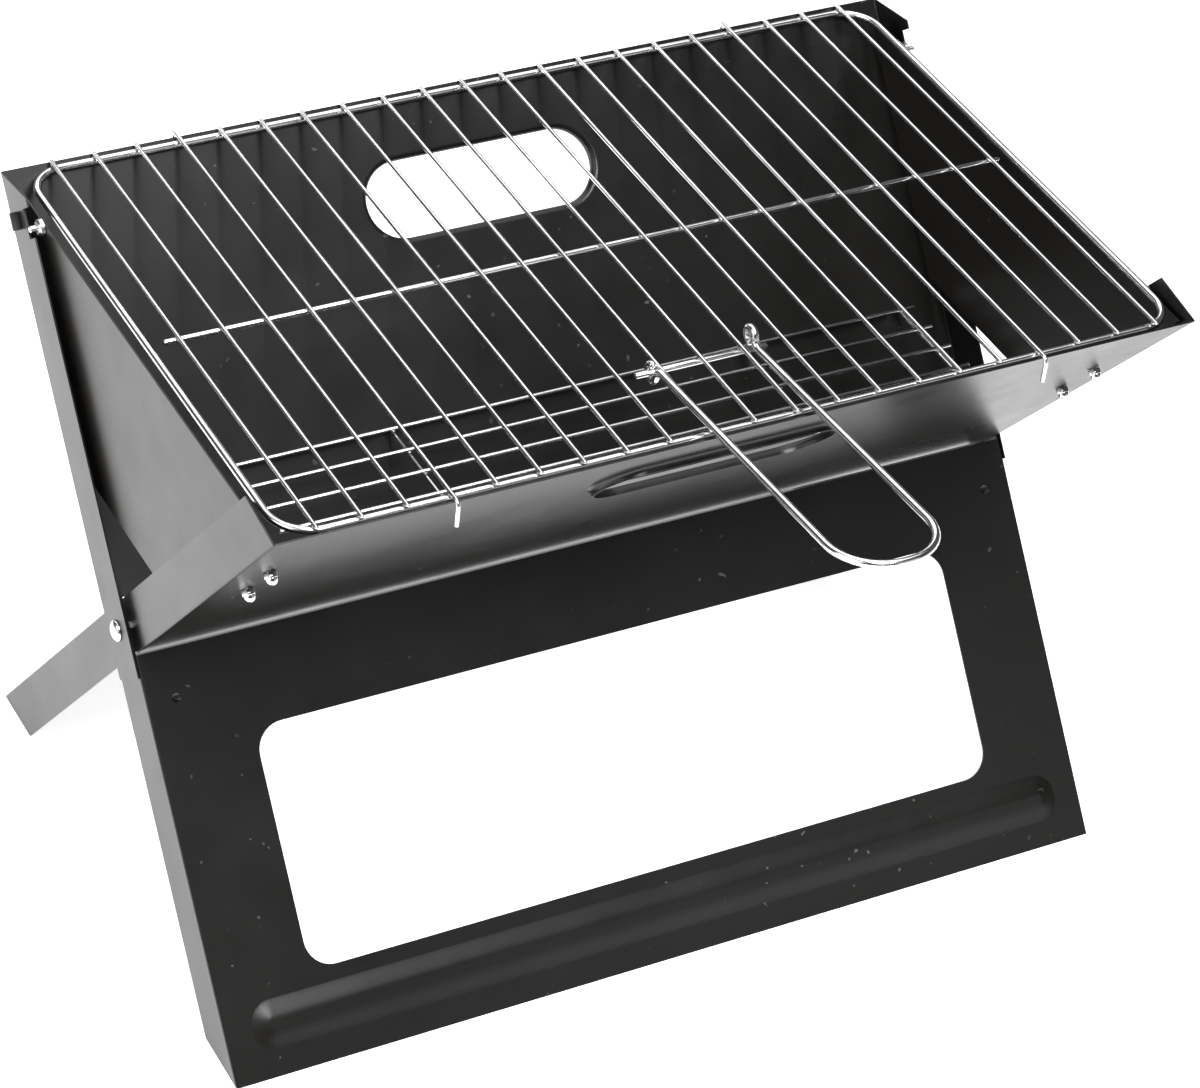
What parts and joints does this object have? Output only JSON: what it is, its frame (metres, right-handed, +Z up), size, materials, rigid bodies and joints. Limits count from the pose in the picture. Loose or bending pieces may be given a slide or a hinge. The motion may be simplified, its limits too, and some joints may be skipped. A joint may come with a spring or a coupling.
{
  "type": "folding camp grill",
  "caption": "Folding charcoal grill: crossed sheet steel panels form a V trough and legs, closed by end wings under a wire grate with a loop handle.",
  "frame": {"origin": "on the ground, below the middle of the whole outline, handle included", "axes": "+X along the side pivots to the right, -Y to the front where the handle is, +Z up"},
  "size_m": [0.454, 0.4023, 0.3146],
  "materials": {
    "black_enamel": "semi-gloss black",
    "plated_wire": "bright plated, slightly soft",
    "plated_handle": "bright plated",
    "bright_nut": "polished",
    "zinc_fastener": "zinc plated"
  },
  "bodies": {
    "rear_panel": {"rear_wall": "black_enamel", "front_leg_frame": "black_enamel", "pivot_rivet_left": "zinc_fastener", "pivot_rivet_right": "zinc_fastener", "pivot_washer_left": "zinc_fastener", "pivot_washer_right": "zinc_fastener"},
    "front_panel": {"front_wall": "black_enamel", "rear_leg_frame": "black_enamel", "hinge_leaf_left": "black_enamel", "hinge_leaf_right": "black_enamel", "hinge_bolt_left_lower": "zinc_fastener", "hinge_bolt_left_upper": "zinc_fastener", "hinge_bolt_right_lower": "zinc_fastener", "hinge_bolt_right_upper": "zinc_fastener", "dome_nut_left_lower": "bright_nut", "dome_nut_left_upper": "bright_nut", "dome_nut_right_lower": "bright_nut", "dome_nut_right_upper": "bright_nut"},
    "left_pin": {"hinge_pin_left": "zinc_fastener"},
    "left_wing": {"wing_left": "black_enamel", "wing_stud_left": "zinc_fastener", "wing_nut_left": "zinc_fastener"},
    "right_pin": {"hinge_pin_right": "zinc_fastener"},
    "right_wing": {"wing_right": "black_enamel", "wing_stud_right": "zinc_fastener", "wing_nut_right": "zinc_fastener"},
    "cooking_grate": {"grate_rim": "plated_wire", "grate_cross_wire": "plated_wire", "handle_rod": "plated_wire", "grate_bar_01": "plated_wire", "grate_bar_02": "plated_wire", "grate_bar_03": "plated_wire", "grate_bar_04": "plated_wire", "grate_bar_05": "plated_wire", "grate_bar_06": "plated_wire", "grate_bar_07": "plated_wire", "grate_bar_08": "plated_wire", "grate_bar_09": "plated_wire", "grate_bar_10": "plated_wire", "grate_bar_11": "plated_wire", "grate_bar_12": "plated_wire", "grate_bar_13": "plated_wire", "grate_bar_14": "plated_wire", "grate_bar_15": "plated_wire", "grate_bar_16": "plated_wire", "grate_bar_17": "plated_wire", "grate_bar_18": "plated_wire", "grate_bar_19": "plated_wire", "grate_bar_20": "plated_wire", "grate_bar_21": "plated_wire"},
    "grate_handle": {"handle": "plated_handle"},
    "charcoal_rack": {"rack_wire_1": "plated_wire", "rack_wire_2": "plated_wire", "rack_wire_3": "plated_wire", "rack_wire_4": "plated_wire", "rack_wire_5": "plated_wire", "rack_wire_6": "plated_wire", "rack_cross_wire_1": "plated_wire", "rack_cross_wire_2": "plated_wire", "rack_cross_wire_3": "plated_wire"}
  },
  "joints": [
    {"name": "fold", "type": "hinge", "parent": "rear_panel", "child": "front_panel", "pos_m": [0, 0.0559, 0.15069], "axis": [-1, 0, 0], "range_deg": [0, 79]},
    {"name": "left_wing_lift", "type": "slide", "parent": "front_panel", "child": "left_pin", "axis": [0, -0.6361, 0.7716], "range_m": [0, 0.33]},
    {"name": "left_wing_swing", "type": "hinge", "parent": "left_pin", "child": "left_wing", "pos_m": [-0.212, -0.03214, 0.24334], "axis": [0, 0.6361, -0.7716], "range_deg": [0, 28]},
    {"name": "right_wing_lift", "type": "slide", "parent": "front_panel", "child": "right_pin", "axis": [0, -0.6361, 0.7716], "range_m": [0, 0.33]},
    {"name": "right_wing_swing", "type": "hinge", "parent": "right_pin", "child": "right_wing", "pos_m": [0.212, -0.03214, 0.24334], "axis": [0, -0.6361, 0.7716], "range_deg": [0, 28]},
    {"name": "grate_lift", "type": "slide", "parent": "rear_panel", "child": "cooking_grate", "axis": [0, 0, 1], "range_m": [0, 0.6]},
    {"name": "handle_swing", "type": "hinge", "parent": "cooking_grate", "child": "grate_handle", "pos_m": [0.001, -0.0341, 0.30068], "axis": [-1, 0, 0], "range_deg": [0, 170]},
    {"name": "rack_lift", "type": "slide", "parent": "rear_panel", "child": "charcoal_rack", "axis": [0, 0, 1], "range_m": [0, 0.552]}
  ],
  "couplings": [
    {"joint": "left_wing_lift", "follows": "fold", "m_per_rad": 0.239},
    {"joint": "right_wing_lift", "follows": "fold", "m_per_rad": 0.239},
    {"joint": "grate_lift", "follows": "fold", "m_per_rad": 0.435},
    {"joint": "rack_lift", "follows": "fold", "m_per_rad": 0.4}
  ]
}
